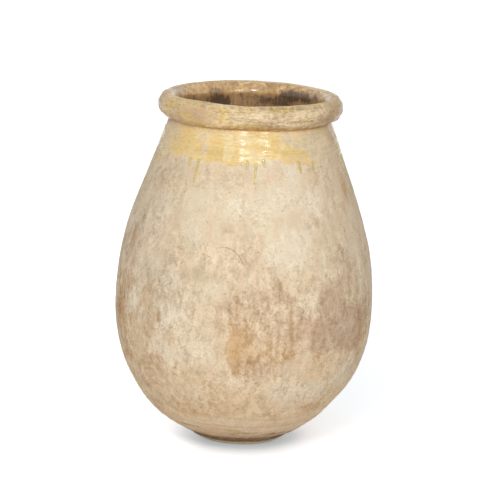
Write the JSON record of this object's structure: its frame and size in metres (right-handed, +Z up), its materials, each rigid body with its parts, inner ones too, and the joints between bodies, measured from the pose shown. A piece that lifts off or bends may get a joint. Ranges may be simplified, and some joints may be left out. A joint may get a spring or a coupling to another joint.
{
  "type": "olive jar",
  "caption": "Large egg-shaped fired-clay storage jar on a small flat foot, with a heavy rolled rim, a glazed neck band with runs, and a glazed inside.",
  "frame": {"origin": "centre of the foot's flat underside, on the floor", "axes": "+Z up along the jar's axis; -Y faces the viewer of the picture"},
  "size_m": [0.627, 0.6268, 0.85],
  "materials": {
    "clay": "bare buff fired clay, chalky and stained",
    "yellow_glaze": "glossy honey-yellow glaze, worn on the rim",
    "amber_lining": "glossy amber glaze with dark stains"
  },
  "bodies": {
    "root": {"foot_disc": "clay", "lower_wall": "clay", "belly_wall": "clay", "shoulder_wall": "clay", "neck_collar": "clay", "rolled_rim": "clay", "inner_glaze": "amber_lining", "rim_glaze": "yellow_glaze", "neck_glaze": "yellow_glaze", "glaze_runs": "yellow_glaze"}
  },
  "joints": []
}
